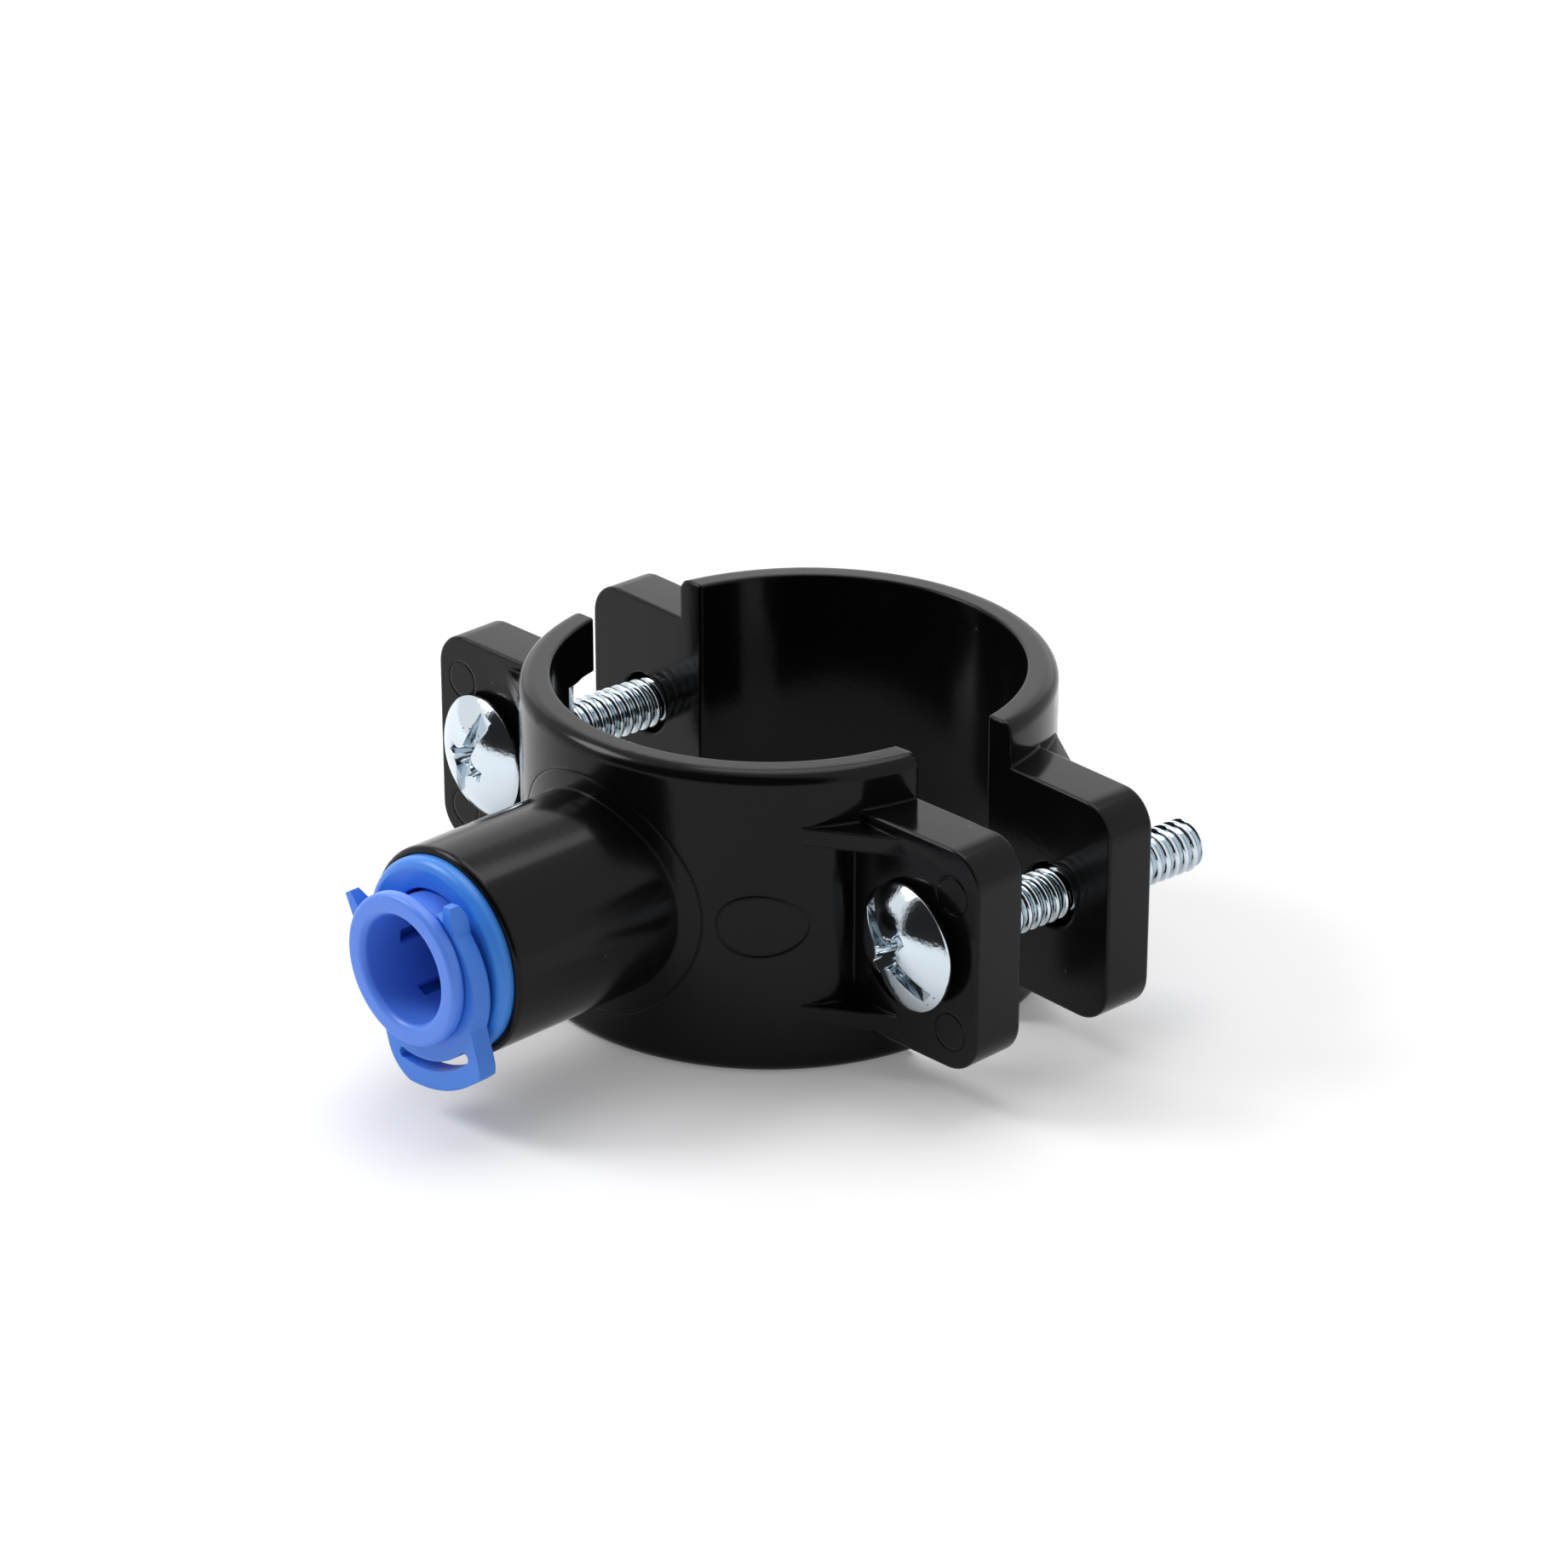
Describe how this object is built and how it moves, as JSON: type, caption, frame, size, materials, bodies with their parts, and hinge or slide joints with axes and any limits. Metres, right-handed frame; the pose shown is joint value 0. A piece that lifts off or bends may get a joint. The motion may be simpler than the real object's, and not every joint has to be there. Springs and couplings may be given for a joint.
{
  "type": "drain pipe clamp",
  "caption": "Split saddle clamp that closes round a waste pipe with ear screws and taps it with a push-in spigot for a small drain tube.",
  "frame": {"origin": "on the front shell's bore axis, in the plane of the ring end that the clamp stands on", "axes": "+Z along the waste pipe, -Y along the spigot towards the tube's mouth, X through the ears"},
  "size_m": [0.0694, 0.0687, 0.0285],
  "materials": {
    "black_shell": "smooth moulded, satin gloss",
    "zinc_screw": "bright zinc plate",
    "blue_cap": "smooth moulded, slightly translucent",
    "blue_collet": "smooth moulded, slightly translucent",
    "blue_clip": "smooth moulded, slightly translucent",
    "stainless": "stamped",
    "seal_rubber": "matt",
    "gasket_rubber": "matt"
  },
  "bodies": {
    "front_half": {"front_shell": "black_shell", "collet_cap": "blue_cap", "tube_seal": "seal_rubber", "saddle_gasket": "gasket_rubber"},
    "rear_half": {"rear_shell": "black_shell", "nut_left": "zinc_screw", "nut_right": "zinc_screw"},
    "screw_left": {"screw_left": "zinc_screw"},
    "screw_right": {"screw_right": "zinc_screw"},
    "collet": {"collet": "blue_collet", "grip_teeth": "stainless"},
    "clip": {"locking_clip": "blue_clip"}
  },
  "joints": [
    {"name": "screw_right_turn", "type": "hinge", "parent": "front_half", "child": "screw_right", "pos_m": [0.0268, -0.0062, 0.01425], "axis": [0.0955, 0.9954, 0], "range_deg": [-2382, 3130]},
    {"name": "screw_left_turn", "type": "hinge", "parent": "front_half", "child": "screw_left", "pos_m": [-0.0268, -0.0062, 0.01425], "axis": [0.0955, 0.9954, 0], "range_deg": [-2382, 3130]},
    {"name": "clamp_close", "type": "slide", "parent": "front_half", "child": "rear_half", "axis": [0.0955, 0.9954, 0], "range_m": [-0.0092, 0.007]},
    {"name": "collet_play", "type": "slide", "parent": "front_half", "child": "collet", "axis": [0, 1, 0], "range_m": [0, 0.0004]},
    {"name": "clip_swivel", "type": "hinge", "parent": "collet", "child": "clip", "pos_m": [0, -0.04085, 0.01425], "axis": [0, -1, 0], "continuous": true}
  ],
  "couplings": [
    {"joint": "screw_right_turn", "follows": "clamp_close", "rad_per_m": -5936.9},
    {"joint": "screw_left_turn", "follows": "clamp_close", "rad_per_m": -5936.9}
  ]
}
